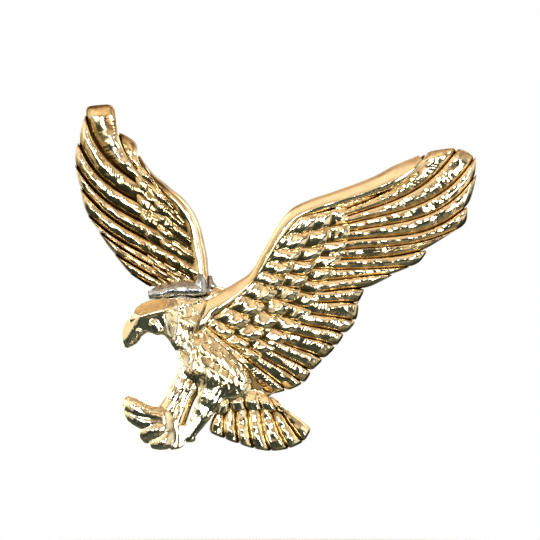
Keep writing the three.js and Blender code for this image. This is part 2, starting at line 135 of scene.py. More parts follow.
def mesh_object(name, points, faces, triangles=False):
    """An object from points in mm and faces, with its faces turned outwards."""
    mesh = bpy.data.meshes.new(name)
    mesh.from_pydata(np.asarray(points, float).tolist(), [], [list(map(int, face)) for face in faces])
    mesh.update()
    shape = bmesh.new()
    shape.from_mesh(mesh)
    bmesh.ops.remove_doubles(shape, verts=shape.verts, dist=1e-5)
    bmesh.ops.recalc_face_normals(shape, faces=shape.faces)
    if shape.calc_volume(signed=True) < 0:
        bmesh.ops.reverse_faces(shape, faces=shape.faces)
    if triangles:
        bmesh.ops.triangulate(shape, faces=shape.faces)
    shape.to_mesh(mesh)
    shape.free()
    obj = bpy.data.objects.new(name, mesh)
    bpy.context.scene.collection.objects.link(obj)
    return obj


def combine(obj, others, operation="UNION"):
    """Joins the other closed bodies to obj, or cuts them from it."""
    for other in others:
        step = obj.modifiers.new("combine", "BOOLEAN")
        step.operation = operation
        step.solver = "MANIFOLD"
        step.object = other
        made = bpy.data.meshes.new_from_object(obj.evaluated_get(bpy.context.evaluated_depsgraph_get()))
        obj.modifiers.clear()
        old = obj.data
        obj.data = made
        bpy.data.meshes.remove(old)
        bpy.data.objects.remove(other)
    return obj


def closed_grid(name, front, back):
    """The closed body between two grids of points, [column, row], of the same size."""
    columns, rows = front.shape[:2]
    number = np.arange(columns * rows).reshape(columns, rows)
    quads = [number[:-1, :-1], number[1:, :-1], number[1:, 1:], number[:-1, 1:]]
    quads = np.stack(quads, -1).reshape(-1, 4)
    rim = [number[:, 0], number[-1, 1:], number[-2::-1, -1], number[0, -2:0:-1]]
    rim = np.concatenate(rim)
    ahead = np.roll(rim, -1)
    far = columns * rows
    sides = np.stack([ahead, rim, rim + far, ahead + far], -1)
    points = np.vstack([front.reshape(-1, 3), back.reshape(-1, 3)])
    return mesh_object(name, points, np.vstack([quads, quads[:, ::-1] + far, sides]))


def prism(outline, front, back):
    """A straight-sided block of an outline of x, z between two depths."""
    outline = np.asarray(outline, float)
    count = len(outline)
    points = [(x, y, z) for y in (front, back) for x, z in outline]
    ring = [(i, (i + 1) % count, (i + 1) % count + count, i + count) for i in range(count)]
    faces = [range(count), range(count, 2 * count), *ring]
    return mesh_object("prism", points, faces, triangles=True)


def block(low, high):
    """A box between two corners."""
    (x0, y0, z0), (x1, y1, z1) = low, high
    return prism([(x0, z0), (x1, z0), (x1, z1), (x0, z1)], y0, y1)


def loft(name, centres, sections):
    """The closed body through rings of points, [ring, point], with a cap at each end."""
    rings, sides = sections.shape[:2]
    number = np.arange(rings * sides).reshape(rings, sides)
    ahead = np.roll(number, -1, axis=1)
    quads = np.stack([number[:-1], number[1:], ahead[1:], ahead[:-1]], -1).reshape(-1, 4)
    first = rings * sides
    caps = [(first, b, a) for a, b in zip(number[0], ahead[0])]
    caps += [(first + 1, a, b) for a, b in zip(number[-1], ahead[-1])]
    points = np.vstack([sections.reshape(-1, 3), centres[0], centres[-1]])
    return mesh_object(name, points, [*quads, *caps])


def directions(line):
    """The unit direction of a line at each of its points."""
    along = np.gradient(line, axis=0)
    return along / np.linalg.norm(along, axis=1, keepdims=True)


def limb(name, stations, depth=1.0, sides=40, steps=16, rough=0.0, size=1.5, square=2.0, tilt=0.0):
    """A rounded limb through stations of x, y, z, radius. depth is its thickness along Y over its width.

    A higher square flattens its sides, and tilt turns its section about its line, in radians.
    """
    line = spread(stations, (len(stations) - 1) * steps)
    centres, radius = line[:, :3], line[:, 3]
    along = directions(centres)
    side = np.cross(along, (0.0, 1.0, 0.0))
    side /= np.linalg.norm(side, axis=1, keepdims=True)
    facing = np.cross(side, along)
    angle = np.arange(sides) * 2 * math.pi / sides
    cos, sin = np.cos(angle), np.sin(angle)
    reach = (np.abs(cos) ** square + np.abs(sin) ** square) ** (-1 / square)
    wide = reach * (cos * math.cos(tilt) - sin * math.sin(tilt))
    thick = reach * (cos * math.sin(tilt) + sin * math.cos(tilt))
    out = side[:, None] * wide[None, :, None]
    out = out + facing[:, None] * (depth * thick)[None, :, None]
    sections = centres[:, None] + out * radius[:, None, None]
    sections = sections + out * (rough * ripple(sections, size, 3))[..., None]
    return loft(name, centres, sections)


def band(name, line, across, thickness, half_widths):
    """A strip of sheet metal along a line of points, as wide as given at each, with softened edges."""
    sides, square = 24, 6
    along = directions(line)
    across = np.asarray(across, float)
    facing = np.cross(along, across)
    angle = np.arange(sides) * 2 * math.pi / sides + math.pi / sides
    cos, sin = np.cos(angle), np.sin(angle)
    wide = np.sign(cos) * np.abs(cos) ** (2 / square)
    thick = np.sign(sin) * np.abs(sin) ** (2 / square)
    sections = line[:, None] + across * (wide[None, :] * half_widths[:, None])[..., None]
    sections = sections + facing[:, None] * (thick * thickness / 2)[None, :, None]
    return loft(name, line, sections)


def filleted(path, radius, steps=5):
    """The corners of an open path, rounded off."""
    path = np.asarray(path, float)
    made = [path[0]]
    for before, corner, after in zip(path[:-2], path[1:-1], path[2:]):
        cut = min(radius, np.linalg.norm(corner - before) / 2.2, np.linalg.norm(after - corner) / 2.2)
        start = corner + (before - corner) * cut / np.linalg.norm(before - corner)
        end = corner + (after - corner) * cut / np.linalg.norm(after - corner)
        for part in np.linspace(0, 1, steps):
            made.append(mix(mix(start, corner, part), mix(corner, end, part), part))
    made.append(path[-1])
    return np.array(made)


def turned(name, profile, radius=0.04, sides=96):
    """A body of revolution round the Y axis from a closed profile of radius, y, its corners softened."""
    profile = np.asarray(profile, float)
    loop = np.vstack([profile[-1:], profile, profile[:1]])
    soft = filleted(loop, radius, 4)[1:-1]
    soft[:, 0] = np.maximum(soft[:, 0], 0)
    if profile[:, 0].min() == 0:
        soft[soft[:, 0] < 1e-3, 0] = 0
    angle = np.arange(sides) * 2 * math.pi / sides
    rings = np.stack(
        [
            soft[:, None, 0] * np.cos(angle),
            np.repeat(soft[:, None, 1], sides, axis=1),
            soft[:, None, 0] * np.sin(angle),
        ],
        -1,
    )
    number = np.arange(len(soft) * sides).reshape(len(soft), sides)
    below = np.roll(number, -1, axis=0)
    quads = np.stack([number, below, np.roll(below, -1, 1), np.roll(number, -1, 1)], -1)
    return mesh_object(name, rings.reshape(-1, 3), quads.reshape(-1, 4))


# ---------------------------- fans of feathers


def fan_lines(roots, tips, leave, arrive, reach, across=12, along=150, blunt=()):
    """The lines of a fan of feathers in the plane of x, z.

    Returns their points [column, row], each column's feather number and its place across that feather, and
    each row's place from root to tip. roots and tips hold the points between feathers. leave and arrive are
    key headings in degrees, and reach is how far each feather's end runs out, on its two sides. The ends of
    the feathers numbered in blunt are square.
    """
    roots, tips, reach = (np.asarray(v, float) for v in (roots, tips, reach))
    feathers = len(tips) - 1
    place = np.arange(feathers * across + 1) / across
    feather = np.minimum(place.astype(int), feathers - 1)
    part = place - feather
    part = mix(part, 0.5 - 0.5 * np.cos(math.pi * part), 0.6)
    place = (feather + part) / feathers
    root = mix(roots[feather], roots[feather + 1], part[:, None])
    tip = mix(tips[feather], tips[feather + 1], part[:, None])
    handle = 0.4 * np.linalg.norm(tip - root, axis=1)[:, None]
    end = heading(between(arrive, place))
    power = np.where(np.isin(feather, blunt), 5, 3)
    lobe = (1 - np.abs(2 * part - 1) ** power) ** (1 / power)
    far_tip = tip + end * (mix(reach[feather, 0], reach[feather, 1], part) * lobe)[:, None]
    corners = [root, root + heading(between(leave, place)) * handle, tip - end * handle, far_tip]
    row = np.linspace(0, 1, along + 1)
    weights = [(1 - row) ** 3, 3 * row * (1 - row) ** 2, 3 * row**2 * (1 - row), row**3]
    points = sum(corner[:, None] * weight[None, :, None] for corner, weight in zip(corners, weights))
    return points, feather, part, row


def run_lengths(points):
    """How far each point of a fan is from its line's root."""
    steps = np.linalg.norm(np.diff(points, axis=1), axis=2)
    return np.concatenate([np.zeros((len(points), 1)), np.cumsum(steps, axis=1)], axis=1)


def fan_body(name, points, height):
    """The closed body of a fan whose front stands height above the castings' back."""
    front = np.stack([points[..., 0], BACK - height, points[..., 1]], -1)
    back = front.copy()
    back[..., 1] = 1.0
    return closed_grid(name, front, back)


def flight_height(points, feather, part, row, rise, crown, barb=0.013, lean=0.34):
    """Long feathers: crowned, shingled, with a shaft, slanting barbs and grooves that deepen to the tips."""
    pitch, slot = 0.42, 0.14
    length = run_lengths(points)
    across = (2 * part - 1)[:, None]
    dice = np.random.default_rng(5)
    centre = dice.uniform(-0.1, 0.1, feather.max() + 1)[feather][:, None]
    lift = dice.uniform(-0.09, 0.09, feather.max() + 1)[feather][:, None]
    dome = 1 - np.abs(across) ** 2.2
    height = between(rise, row)[None, :] + (crown + lift) * dome + lean * across / 2
    height = height + 0.06 * np.exp(-(((across - centre) / 0.09) ** 2)) * smoothstep(1.0, 0.85, row)[None, :]
    slant = (length + 0.55 * np.abs(across - centre)) / pitch + 0.37 * feather[:, None]
    slant = slant + 0.35 * ripple(points, 1.7, 21)
    comb = smoothstep(0.1, 0.3, np.abs(across - centre)) * smoothstep(1.02, 0.8, np.abs(across))
    comb = comb * smoothstep(-0.9, 0.6, ripple(points, 2.6, 22))
    height = height + barb * np.sin(2 * math.pi * slant) * comb
    height = height + (0.035 * ripple(points, 1.1, 23) + 0.05 * ripple(points, 3.1, 24)) * (0.4 + 0.6 * dome)
    groove = np.exp(-(((1 - np.abs(across)) / 0.16) ** 2))
    height = height - slot * groove * smoothstep(0.35, 1.0, row)[None, :]
    left = length[:, -1:] - length
    height = height - 0.3 * np.maximum(1.3 - left, 0) ** 1.2
    return height - 0.3 * (1 - smoothstep(0.0, 0.3, left))


def covert_height(points, feather, part, row, rise, crown, bulge, lean=0.26):
    """Short rounded feathers, that swell towards their ends and then slope away."""
    length = run_lengths(points)
    left = length[:, -1:] - length
    across = (2 * part - 1)[:, None]
    dice = np.random.default_rng(6)
    swell = dice.uniform(0.7, 1.2, feather.max() + 1)[feather][:, None]
    dome = 1 - np.abs(across) ** 2.6
    height = between(rise, row)[None, :] + crown * dome * smoothstep(0.0, 0.3, row)[None, :]
    height = height + lean * across / 2
    height = height + bulge * swell * (0.35 + 0.65 * dome) * smoothstep(2.4, 1.0, left)
    height = height - 0.3 * np.maximum(1.1 - left, 0) ** 1.15
    height = height + (0.03 * ripple(points, 1.3, 31) + 0.04 * ripple(points, 2.4, 32)) * dome
    barbs = np.sin(2 * math.pi * ((length + 0.5 * np.abs(across)) / 0.36 + 0.37 * feather[:, None]))
    comb = smoothstep(0.15, 0.4, np.abs(across)) * dome * smoothstep(0.9, 1.4, left)
    height = height + 0.012 * barbs * comb
    return height - 0.3 * (1 - smoothstep(0.0, 0.25, left))


# ---------------------------- the joint of body and near wing

SEAM = [
    (-7.2, 3), (-7.4, -1.3), (-8.5, -3.2), (-9.4, -5.2), (-9.9, -6.9), (-9.2, -6.8), (-8.3, -6.9),
    (-7.2, -7.6), (-5.7, -8.9), (-4.2, -10.4), (-2.7, -12.1), (-1.7, -13.7), (-0.9, -14.4),
    (8, -14.6),
]
LAP_CENTRE = (-4.4, -9.6)
LAP_SIZE = (3.6, 4.7)
LAP_TILT = 0.55


def body_side():
    """All that lies on the body's side of the seam."""
    return prism([*SEAM, (8, -30), (-30, -30), (-30, 3)], -9, 2)


def wing_side():
    """All that lies on the wing's side of the seam, with the gap."""
    side = prism([*SEAM, (40, -14.6), (40, 3)], -9, 2)
    side.data.transform(Matrix.Translation((-GAP, 0, -GAP)))
    return side


def lap_edge(grow=0.0):
    """The outline of the body's tab behind the near wing."""
    angle = np.arange(72) * 2 * math.pi / 72
    x = (LAP_SIZE[0] + grow) * np.cos(angle)
    z = (LAP_SIZE[1] + grow) * np.sin(angle)
    cos, sin = math.cos(LAP_TILT), math.sin(LAP_TILT)
    return np.stack([LAP_CENTRE[0] + x * cos - z * sin, LAP_CENTRE[1] + x * sin + z * cos], -1)


def behind():
    """All that lies behind the castings' back."""
    return block((-40, BACK, -40), (40, 9, 40))


# ---------------------------- near wing

NEAR_ROLL = [
    (-9.6, -1.5, -7.1, 0.55), (-9, -1.5, -5.6, 0.9),
    (-8.1, -1.3, -4.2, 1.1), (-7.1, -1.3, -3.4, 1.15),
    (-5.8, -1.2, -2.6, 1.05), (-4.4, -1, -1.6, 0.85),
    (-2.6, -0.9, 0, 0.65), (-0.75, -0.9, 3, 0.7),
    (1.1, -0.9, 6, 0.8), (2.6, -0.9, 7.4, 0.9),
    (4.6, -0.9, 8.25, 0.95), (8, -0.9, 9.35, 1),
    (12, -0.8, 10.75, 1.1), (14.4, -0.7, 11.9, 1.2),
    (16.2, -0.6, 13, 0.95), (17.3, -0.6, 14, 0.5),
]
SHOULDER = [
    (-8.7, -0.8, -3, 1.1), (-7.4, -0.9, -2.35, 1.1),
    (-6, -0.8, -2.3, 0.85), (-4.8, -0.7, -1.9, 0.6),
]
NEAR_COVERT_ROOT = [
    (-9.4, -6.8), (-8.2, -5.4), (-5.4, -3.3), (-2.9, -0.7), (-1.5, 1.2), (-0.2, 3.4), (2.6, 6.8),
]
NEAR_COVERT_TIPS = [
    (-5.2, -10.5), (-1.6, -9.3), (1.9, -6.5), (4.5, -3.1), (6.2, 0.3), (8.3, 4), (8, 8.3),
]
NEAR_FLIGHT_ROOT = [
    (-6.8, -8.6), (-3, -8.7), (-0.1, -7.4), (2.6, -5.2), (4.4, -2.6), (5.4, 0.1), (6.3, 2.5),
    (7, 4.7), (7.1, 6.6), (6.9, 8.3),
]
NEAR_FLIGHT_TIPS = [
    (-1.2, -14), (1, -13.5), (2.9, -12.6), (3.8, -11.2), (5.3, -9.8), (6.8, -8.3), (7.8, -6.8),
    (9.1, -5.3), (9.4, -3.2), (10.2, -1.5), (13.6, 0.2), (15.8, 1.1), (17.3, 3), (22.3, 6),
    (22.5, 8.1), (23.6, 11.8), (23.6, 14), (21.5, 15), (17.8, 14.5), (16.4, 13.6),
]
NEAR_FLIGHT_REACH = [0.3, 0.4, 0.5, 0.4, 0.4, 0.4, 0.5, 0.5, 0.4, 0.6]
NEAR_FLIGHT_REACH += [0.3, 1.0, 0.5, 0.5, 0.9, 0.5, 0.4, 0.5, 0.2]

# Covert rows, lowest first: share of the way to the longest tips, feathers, height, bulge.
NEAR_COVERT_ROWS = [(1.0, 13, 1.45, 0.3), (0.68, 11, 1.75, 0.34), (0.38, 10, 1.95, 0.34)]


def near_flights():
    lines = fan_lines(
        spread(NEAR_FLIGHT_ROOT, len(NEAR_FLIGHT_TIPS) - 1),
        NEAR_FLIGHT_TIPS,
        leave=[-50, -20, 0, 12, 21],
        arrive=[-48, -26, -8, 8, 60, 52],
        reach=[(length, length) for length in NEAR_FLIGHT_REACH],
    )
    return fan_body("flights", lines[0], flight_height(*lines, rise=[1.35, 0.9], crown=0.26))


def near_coverts(share, feathers, rise, bulge):
    roots = spread(NEAR_COVERT_ROOT, feathers)
    lines = fan_lines(
        roots,
        mix(roots, spread(NEAR_COVERT_TIPS, feathers), share),
        leave=[-42, -20, -6, 16, 24],
        arrive=[-40, -20, -6, 12, 22],
        reach=np.full((feathers, 2), 0.6),
        along=70,
    )
    height = covert_height(*lines, rise=[rise, rise - 0.15], crown=0.2, bulge=bulge)
    return fan_body("coverts", lines[0], height)


def near_wing():
    wing = limb(
        "near_wing_casting", NEAR_ROLL, 1.15, sides=72, rough=0.02, size=2.6, square=3.4, tilt=ROLL_TILT
    )
    shoulder = limb("shoulder", SHOULDER, 1.2, rough=0.05, size=1.4)
    combine(wing, [shoulder, near_flights(), *(near_coverts(*row) for row in NEAR_COVERT_ROWS)])
    combine(wing, [behind(), body_side(), prism(lap_edge(GAP), BACK - LAP_DEPTH - GAP, 1)], "DIFFERENCE")
    return combine(wing, [block((-1.5, BACK - 0.4, -1.2), (1.2, 0, 1.9))])


# ---------------------------- far wing

FAR_ROLL = [
    (-16.6, -0.5, 14.2, 0.35), (-15.2, -0.6, 11.9, 0.55),
    (-13.4, -0.7, 10.1, 0.75), (-11.6, -0.8, 8.3, 0.95),
    (-10.4, -0.8, 6.4, 1), (-9.8, -0.8, 4.3, 1),
    (-9.4, -0.8, 2.2, 1.05), (-9.2, -0.8, 0.2, 1.05),
    (-9.05, -0.8, -1.4, 1),
]
FAR_ROOT = [(-8.9, -5.4), (-9.1, -3.4), (-9.3, -0.8), (-9.9, 3.0), (-11.4, 7.2), (-14.4, 10.8)]
FAR_FOOT = -1.25
FAR_FLIGHT_TIPS = [
    (-15.6, -1), (-17.4, 0.2), (-19.3, 2.6), (-21.1, 5.2), (-22.5, 7.2), (-23.3, 10.4), (-24, 13.2),
    (-23.6, 15.8), (-22.8, 19.2), (-18.95, 16.7), (-16.6, 15.2),
]
FAR_FLIGHT_REACH = [
    (0.2, 0.2), (0.3, 0.3), (0.4, 0.4), (0.3, 0.3), (0.4, 0.4), (0.4, 0.4), (0.4, 0.4), (0.3, 0.3),
    (1.1, 3.9), (0.7, 0.7),
]
FAR_COVERT_ROWS = [(0.46, 13, 1.5, 0.22), (0.3, 15, 1.65, 0.22)]
FAR_LEAVE = [145, 147, 148, 145, 138, 125]
FAR_ARRIVE = [145, 146, 135, 118, 100, 86]


def far_flights():
    roots = spread(FAR_ROOT, len(FAR_FLIGHT_TIPS) - 1)
    lines = fan_lines(roots, FAR_FLIGHT_TIPS, FAR_LEAVE, FAR_ARRIVE, FAR_FLIGHT_REACH, blunt=[8])
    return fan_body("flights", lines[0], flight_height(*lines, rise=[1.4, 0.85], crown=0.34, lean=0.44))


def far_coverts(share, feathers, rise, bulge):
    roots = spread(FAR_ROOT, feathers)
    tips = spread(FAR_FLIGHT_TIPS, feathers)
    lines = fan_lines(
        roots,
        mix(roots, tips, share),
        FAR_LEAVE,
        FAR_LEAVE,
        np.full((feathers, 2), 0.45),
        along=60,
    )
    height = covert_height(*lines, rise=[rise, rise - 0.1], crown=0.1, bulge=bulge, lean=0.36)
    return fan_body("coverts", lines[0], height)


def far_wing():
    wing = limb(
        "far_wing_casting", FAR_ROLL, 1.15, sides=72, rough=0.03, size=2.0, square=3.0, tilt=-1.4 * ROLL_TILT
    )
    combine(wing, [far_flights(), *(far_coverts(*row) for row in FAR_COVERT_ROWS)])
    return combine(wing, [behind(), block((-40, -9, -40), (0, 2, FAR_FOOT))], "DIFFERENCE")


# ---------------------------- body

TORSO = [
    (-9.8, -1.6, -6, 2.1), (-8.4, -1.9, -8.6, 2.9),
    (-6.9, -1.8, -11, 3.2), (-5.3, -1.3, -12.9, 2.3),
    (-4, -0.9, -14.3, 1.4),
]
HEAD = [
    (-9.3, -1.9, -4.95, 2.3), (-10.8, -2.5, -5.05, 2.4),
    (-12.4, -2.8, -4.85, 2.2), (-14.2, -2.8, -4.8, 2.1),
    (-15.7, -2.5, -5.15, 1.75), (-16.9, -2, -6.2, 1.4),
    (-17.4, -1.6, -7.2, 1.15), (-17.7, -1.2, -7.95, 0.65),
]
NECK = [
    (-12, -2.6, -5.2, 1.9), (-11.2, -2.3, -6.9, 1.8),
    (-10, -2.1, -8.4, 1.9), (-9, -2, -10.2, 2.1),
]
FAR_LEG = [
    (-10.2, -1.3, -10.8, 1.2), (-11.5, -1.3, -13.2, 1.15),
    (-12.7, -1.3, -15.4, 1.1), (-13.4, -1.4, -16.8, 1.3),
]
BETWEEN_LEGS = [
    (-9.4, -1, -11.8, 1.3), (-10.9, -0.9, -14.4, 1.2),
    (-11.9, -0.9, -16.8, 1.3), (-12.4, -1, -18.2, 1.3),
]
NEAR_LEG = [
    (-7.2, -2.1, -12.2, 2.1), (-7.7, -2.3, -14.2, 1.65),
    (-8.9, -2.2, -16.5, 1.1), (-10.2, -2, -18.4, 0.9),
]
BROW = [
    (-17.3, -3.3, -5.15, 0.22), (-15.6, -4, -4.65, 0.28),
    (-13.4, -4.3, -4.1, 0.3), (-11.2, -4.3, -3.55, 0.28),
    (-9.2, -3.7, -3, 0.2),
]
CHEEK = [(-14.5, -3.5, -5.7, 0.75), (-14.1, -3.4, -6.3, 0.75)]
EYE = [(-16.3, -3.45, -6.45, 0.42), (-16.25, -3.45, -6.5, 0.4)]
TOES = [
    [
        (-13.6, -1.6, -16.8, 1.3), (-15.6, -1.9, -16.3, 1.15), (-17, -1.8, -15.5, 1.1),
        (-17.5, -1.5, -15.2, 0.95),
    ],
    [
        (-13.4, -1.6, -17.4, 1.3), (-15.6, -1.9, -17.3, 1.1), (-17.1, -1.7, -16.6, 0.95),
        (-17.6, -1.4, -16.1, 0.8),
    ],
    [
        (-12.8, -1.6, -18, 1.3), (-14.6, -1.9, -18.3, 1.2), (-15.6, -1.7, -18.7, 0.9),
        (-15.4, -1.4, -19.3, 0.7),
    ],
    [
        (-12, -2, -18.8, 1.1), (-13.4, -2, -19.7, 1.05), (-14.4, -1.7, -19.9, 0.8),
        (-14.6, -1.3, -20.1, 0.55),
    ],
    [(-11.4, -2, -18.8, 1), (-11.8, -2, -19.6, 0.95), (-12.3, -1.7, -20.1, 0.65)],
    [(-11, -2, -18.6, 0.9), (-10.5, -1.8, -19, 0.85), (-10.2, -1.5, -19.3, 0.6)],
]
TAIL_ROOT = [(-7.0, -15.4), (-5.2, -14.0), (-3.2, -13.4), (-1.4, -13.9), (0.2, -14.9)]
TAIL_TIPS = [
    (-8, -18.4), (-6.2, -19.2), (-4.5, -19.8), (-2.7, -20.4), (-0.7, -20.7), (1.4, -20.4),
    (3.1, -19.6), (4, -18.1),
]
TAIL_LEAVE = [-100, -70, -45]
TAIL_ARRIVE = [-90, -65, -42]

BODY_LOW = np.array([-19.4, -6.2, -21.6])
BODY_HIGH = np.array([0.5, 1.2, -1.6])


class Clay:
    """Rounded forms blended on a grid of signed distances, in mm."""

    def __init__(self, low, high, voxel):
        self.low, self.voxel = low, voxel
        self.count = np.ceil((high - low) / voxel).astype(int)
        self.field = np.full(self.count, 3.0, np.float32)

    def window(self, low, high):
        """The part of the grid between two corners, and its x, y and z."""
        first = np.clip(((low - self.low) / self.voxel).astype(int), 0, self.count)
        last = np.clip(((high - self.low) / self.voxel).astype(int), 0, self.count)
        window = tuple(slice(a, b) for a, b in zip(first, last))
        axes = [
            (self.low[i] + self.voxel * np.arange(part.start, part.stop)).astype(np.float32)
            for i, part in enumerate(window)
        ]
        return window, np.meshgrid(*axes, indexing="ij", sparse=True)

    @staticmethod
    def distance(stations, x, y, z):
        """How far points are from a limb's surface."""
        nearest = np.float32(9.0)
        for a, b in zip(stations[:-1], stations[1:]):
            run = b[:3] - a[:3]
            square = max(float(run @ run), 1e-9)
            part = ((x - a[0]) * run[0] + (y - a[1]) * run[1] + (z - a[2]) * run[2]) / square
            part = np.clip(part, 0, 1).astype(np.float32)
            dx = x - a[0] - run[0] * part
            dy = y - a[1] - run[1] * part
            dz = z - a[2] - run[2] * part
            reach = np.sqrt(dx * dx + dy * dy + dz * dz) - (a[3] + (b[3] - a[3]) * part)
            nearest = np.minimum(nearest, reach)
        return nearest

    def add(self, stations, blend):
        """Joins a limb, with a fillet of about the given size."""
        fine = spread(stations, (len(stations) - 1) * 3)
        low = (fine[:, :3] - fine[:, 3:] - 1.2).min(0)
        high = (fine[:, :3] + fine[:, 3:] + 1.2).max(0)
        window, places = self.window(low, high + self.voxel)
        here, new = self.field[window], self.distance(fine, *places)
        part = np.clip(0.5 + 0.5 * (here - new) / blend, 0, 1)
        self.field[window] = mix(here, new, part) - blend * part * (1 - part)

    def shave(self, low, high, proud, blend):
        """Cuts off what stands in front of a surface that is proud(x, z) in front of y 0."""
        window, (x, y, z) = self.window(low, high)
        here, new = self.field[window], (-y - proud(x, z)) * 0.8
        part = np.clip(0.5 - 0.5 * (here - new) / blend, 0, 1)
        self.field[window] = mix(here, new, part) + blend * part * (1 - part)

    def surface(self):
        """The points and quads of the clay's skin."""
        grid = openvdb.FloatGrid(3.0)
        grid.copyFromArray(self.field)
        points, quads = grid.convertToQuads(isovalue=0.0)
        return points * self.voxel + self.low, quads


def scales(along, across, length, width):
    """The height, 0 to 1, of staggered rows of rounded scales that lie over each other."""
    height = np.zeros_like(along)
    for back in (0, 1):
        row = np.floor(along / length) - back
        shift = 0.5 * np.mod(row, 2)
        centre = np.floor(across / width - shift) + 0.5 + shift
        aside = 2 * (across / width - centre)
        ahead = along / length - row
        end = 1.0 + 0.8 * np.sqrt(np.clip(1 - aside**2, 0, 1))
        rise = (ahead / end) ** 0.8 * (1 - 0.5 * aside**2)
        height = np.maximum(height, np.where(ahead < end, rise, 0))
    return height


def plumage(points):
    """How far feathers stand out over the body: small scales on the breast, longer ones on the legs."""
    x, z = points[:, 0], points[:, 2]
    wander = 0.25 * ripple(points[:, ::2], 3.5, 11)
    breast = scales(0.45 * x - 0.89 * z + wander, 0.89 * x + 0.45 * z + wander, 1.25, 1.35)
    leg = scales(-0.5 * x - 0.87 * z + wander, 0.87 * x - 0.5 * z, 2.2, 0.95)
    low = smoothstep(-11.6, -13.2, z + 0.35 * (x + 8))
    face = smoothstep(-11.0, -13.0, x) * smoothstep(-9.5, -8.0, z)
    feet = smoothstep(-15.4, -16.6, z) * smoothstep(-8.0, -9.5, x)
    bare = np.clip(1 - face - feet, 0, 1)
    flecks = 0.045 * ripple(points, 2.2, 13)
    return bare * (mix(0.28 * (breast - 0.4), 0.12 * (leg - 0.4), low) + flecks)


def tail():
    lines = fan_lines(
        spread(TAIL_ROOT, 7), TAIL_TIPS, TAIL_LEAVE, TAIL_ARRIVE, np.full((7, 2), 0.25), across=14, along=90
    )
    height = flight_height(*lines, rise=[1.3, 1.75], crown=0.45, barb=0.004, lean=-0.15)
    return fan_body("tail", lines[0], height)


def tail_coverts(share, feathers, rise):
    roots = spread(TAIL_ROOT, feathers)
    tips = mix(roots, spread(TAIL_TIPS, feathers), share)
    reach = np.full((feathers, 2), 0.5)
    lines = fan_lines(roots, tips, TAIL_LEAVE, TAIL_ARRIVE, reach, along=50)
    return fan_body("coverts", lines[0], covert_height(*lines, rise=[rise, rise], crown=0.2, bulge=0.35))


def head_facets(x, z):
    """How proud the head stands: a sloping crown, a flatter face below the brow, and the beak's side."""
    above_brow = z - mix(-5.0, -2.95, (x + 17.1) / 8.35)
    crown = BROW_PROUD - 1.1 * above_brow
    face = BROW_PROUD + 0.3 * above_brow
    side = BROW_PROUD - 0.7 + 1.1 * (x + 17.0)
    neck = 5 * smoothstep(-11.2, -9.4, x)
    return np.minimum(np.minimum(crown, face), side) + neck


def eagle_body():
    clay = Clay(BODY_LOW, BODY_HIGH, VOXEL)
    clay.add(TORSO, 0.1)
    clay.add(HEAD, 0.5)
    clay.shave(np.array([-19.4, -6.2, -8.8]), np.array([-9.4, 0.0, -1.6]), head_facets, 0.12)
    limbs = [(NECK, 0.9), (FAR_LEG, 0.25), (BETWEEN_LEGS, 0.15), (NEAR_LEG, 0.35)]
    features = [(BROW, 0.15), (CHEEK, 0.3), (EYE, 0.08), *((toe, 0.15) for toe in TOES)]
    for stations, blend in limbs + features:
        clay.add(stations, blend)
    points, quads = clay.surface()
    breast = smoothstep(-13.5, -11.5, points[:, 0])
    proud = np.maximum(-points[:, 1] - 2.2, 0)
    points[:, 1] += breast * (0.68 * proud - 0.09 * (points[:, 0] + 9) * smoothstep(0, 1, proud))
    body = mesh_object("eagle_body_casting", points, quads)
    count = len(body.data.vertices)
    points = np.empty(count * 3)
    normals = np.empty(count * 3)
    body.data.vertices.foreach_get("co", points)
    body.data.vertices.foreach_get("normal", normals)
    points, normals = points.reshape(-1, 3), normals.reshape(-1, 3)
    moved = points + normals * (plumage(points) * smoothstep(0.1, -0.5, normals[:, 1]))[:, None]
    body.data.vertices.foreach_set("co", moved.ravel())
    combine(body, [tail(), tail_coverts(0.3, 5, 2.0)])
    combine(body, [behind(), wing_side()], "DIFFERENCE")
    land = block((-11.5, BACK - 0.4, -8.2), (-10.0, 0, -5.6))
    return combine(body, [prism(lap_edge(), BACK - LAP_DEPTH, BACK), land])


# ---------------------------- solder


def far_wing_solder():
    stations = [
        (-15.2, -1.1, -2.3, 0.55), (-14.2, -1.2, -2.1, 0.85),
        (-12.9, -1.2, -1.8, 1.1), (-11.6, -1.1, -1.55, 1.15),
        (-10.4, -1, -1.55, 1.2), (-9.2, -1, -1.65, 1.15),
        (-8.3, -0.9, -1.85, 0.8), (-7.8, -0.9, -1.6, 0.6),
    ]
    climb = [
        (-9.3, -1.3, -2, 0.8), (-9.1, -1.6, -1.2, 0.85),
        (-9.05, -1.75, -0.4, 0.65), (-9.1, -1.7, 0.3, 0.35),
    ]
    bead = limb("far_wing_solder_bead", stations, 1.4, rough=0.07, size=2.2, steps=30)
    combine(bead, [limb("climb", climb, 1.2, rough=0.08, size=1.6, steps=20)])
    return combine(bead, [behind()], "DIFFERENCE")


def shoulder_solder():
    stations = [
        (-7.95, -0.7, 0, 0.22), (-7.85, -0.8, -0.6, 0.38),
        (-7.65, -0.9, -1.1, 0.5), (-7.3, -0.8, -1.4, 0.4),
    ]
    bead = limb("shoulder_solder_bead", stations, rough=0.03, size=1.2, steps=30)
    return combine(bead, [behind()], "DIFFERENCE")


def near_wing_solder():
    edge = lap_edge()
    arc = np.vstack([edge[51:], edge[:13]])
    stations = [(x, BACK, z, 0.4) for x, z in arc]
    bead = limb("near_wing_solder_bead", stations, 0.8, sides=28, steps=6, rough=0.07, size=0.8)
    return combine(bead, [block((-40, -9, -40), (40, BACK, 40))], "DIFFERENCE")


# ---------------------------- posts


